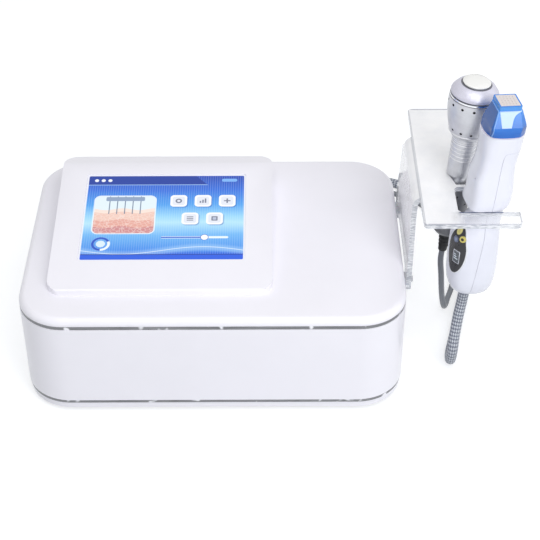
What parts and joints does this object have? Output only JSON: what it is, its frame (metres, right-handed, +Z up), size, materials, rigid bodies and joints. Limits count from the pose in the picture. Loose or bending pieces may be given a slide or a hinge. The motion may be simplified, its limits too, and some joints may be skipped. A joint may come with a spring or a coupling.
{
  "type": "radio frequency microneedling machine",
  "caption": "Desktop skin-care console with a tilted touch screen and a clear side holder that carries a needling handpiece and a cooling handpiece on their cables.",
  "frame": {"origin": "under the middle of the machine's box without its cables, on the table", "axes": "+X to the holder's side, +Y to the back, +Z up"},
  "size_m": [0.4816, 0.418, 0.3217],
  "materials": {
    "case_white": "gloss",
    "trim_grey": "satin",
    "screen_glass": "gloss",
    "display_metal": "satin",
    "foot_rubber": "matt",
    "screw_steel": "satin",
    "rear_metal": "satin",
    "black_plastic": "satin",
    "guard_steel": "satin",
    "socket_metal": "satin",
    "board_green": "satin",
    "sink_metal": "satin",
    "holder_clear": "clear",
    "spacer_white": "satin",
    "handpiece_white": "gloss",
    "panel_dark": "gloss",
    "display_silver": "gloss",
    "collar_grey": "satin",
    "key_yellow": "satin",
    "key_blue_grey": "satin",
    "cartridge_blue": "gloss",
    "needle_face_beige": "satin",
    "needle_gold": "satin",
    "cold_plate_white": "satin",
    "cone_pale": "satin",
    "chrome": "polished",
    "satin_silver": "satin",
    "housing_dark": "satin",
    "relief_black": "matt",
    "braid_grey": "braided",
    "cable_grey": "satin"
  },
  "bodies": {
    "console": {"bottom_tray": "case_white", "body_band": "case_white", "top_cover": "case_white", "screen_bezel": "case_white", "lower_trim": "trim_grey", "upper_trim": "trim_grey", "touch_glass": "screen_glass", "display": "display_metal", "rubber_feet": "foot_rubber", "case_screws": "screw_steel", "rear_screws": "screw_steel", "holder_screws": "screw_steel", "rear_panel": "rear_metal", "mains_inlet": "black_plastic", "switch_frame": "black_plastic", "fan_frame": "black_plastic", "fan_guard": "guard_steel", "chassis_plate": "guard_steel", "rf_socket": "socket_metal", "ice_socket": "socket_metal", "rf_connector": "socket_metal", "ice_connector": "socket_metal", "main_board": "board_green", "rf_board": "board_green", "power_supply": "board_green", "rf_heat_sink": "sink_metal", "holder_sheet": "holder_clear", "holder_spacers": "spacer_white", "rf_cable": "braid_grey", "rf_cable_coil": "braid_grey", "rf_cable_tail": "braid_grey", "ice_cable": "cable_grey", "ice_cable_coil": "cable_grey", "ice_cable_tail": "cable_grey"},
    "rf_handpiece": {"rf_front_shell": "handpiece_white", "rf_rear_shell": "handpiece_white", "rf_panel": "panel_dark", "rf_display": "display_silver", "handpiece_board": "board_green", "needle_motor": "sink_metal", "cartridge_seat": "collar_grey", "rf_gland": "collar_grey"},
    "trigger_key": {"trigger_key": "key_yellow"},
    "mode_key": {"mode_key": "key_blue_grey"},
    "level_key": {"level_key": "key_yellow"},
    "push_rod": {"push_rod": "sink_metal"},
    "cartridge": {"cartridge_body": "cartridge_blue", "cartridge_face": "needle_face_beige"},
    "needles": {"needle_carrier": "needle_gold"},
    "ice_handpiece": {"cold_plate": "cold_plate_white", "head_cone": "cone_pale", "chrome_ring": "chrome", "head_barrel": "satin_silver", "ribbed_grip": "satin_silver", "rear_housing": "housing_dark", "cooling_stack": "sink_metal", "ice_relief": "relief_black"},
    "power_rocker": {"power_rocker": "black_plastic"},
    "fan_rotor": {"fan_rotor": "black_plastic"},
    "fuse_drawer": {"fuse_drawer": "black_plastic"}
  },
  "joints": [
    {"name": "rf_handpiece_out", "type": "slide", "parent": "console", "child": "rf_handpiece", "axis": [1, 0, 0], "range_m": [0, 0.065]},
    {"name": "ice_handpiece_out", "type": "slide", "parent": "console", "child": "ice_handpiece", "axis": [0.995, 0.0995, 0], "range_m": [0, 0.06]},
    {"name": "cartridge_lift", "type": "slide", "parent": "rf_handpiece", "child": "cartridge", "axis": [0.068, 0, 0.9977], "range_m": [0, 0.025]},
    {"name": "push_rod_stroke", "type": "slide", "parent": "rf_handpiece", "child": "push_rod", "axis": [0.068, 0, 0.9977], "range_m": [0, 0.003]},
    {"name": "needle_stroke", "type": "slide", "parent": "cartridge", "child": "needles", "axis": [0.068, 0, 0.9977], "range_m": [0, 0.003]},
    {"name": "trigger_press", "type": "slide", "parent": "rf_handpiece", "child": "trigger_key", "axis": [0.7968, 0.6018, -0.0543], "range_m": [0, 0.0006], "stiffness_N_per_m": 1500, "springref_m": -0.0004},
    {"name": "mode_press", "type": "slide", "parent": "rf_handpiece", "child": "mode_key", "axis": [0.7968, 0.6018, -0.0543], "range_m": [0, 0.0006], "stiffness_N_per_m": 1500, "springref_m": -0.0004},
    {"name": "level_press", "type": "slide", "parent": "rf_handpiece", "child": "level_key", "axis": [0.7968, 0.6018, -0.0543], "range_m": [0, 0.0006], "stiffness_N_per_m": 1500, "springref_m": -0.0004},
    {"name": "power_rock", "type": "hinge", "parent": "console", "child": "power_rocker", "pos_m": [-0.0453, 0.1327, 0.06], "axis": [1, 0, 0], "range_deg": [0, 18]},
    {"name": "fan_spin", "type": "hinge", "parent": "console", "child": "fan_rotor", "pos_m": [0.0117, 0.1247, 0.056], "axis": [0, 1, 0], "continuous": true},
    {"name": "fuse_drawer_pull", "type": "slide", "parent": "console", "child": "fuse_drawer", "axis": [0, 1, 0], "range_m": [0, 0.018]}
  ],
  "couplings": [
    {"joint": "needle_stroke", "follows": "push_rod_stroke", "ratio": 1}
  ]
}
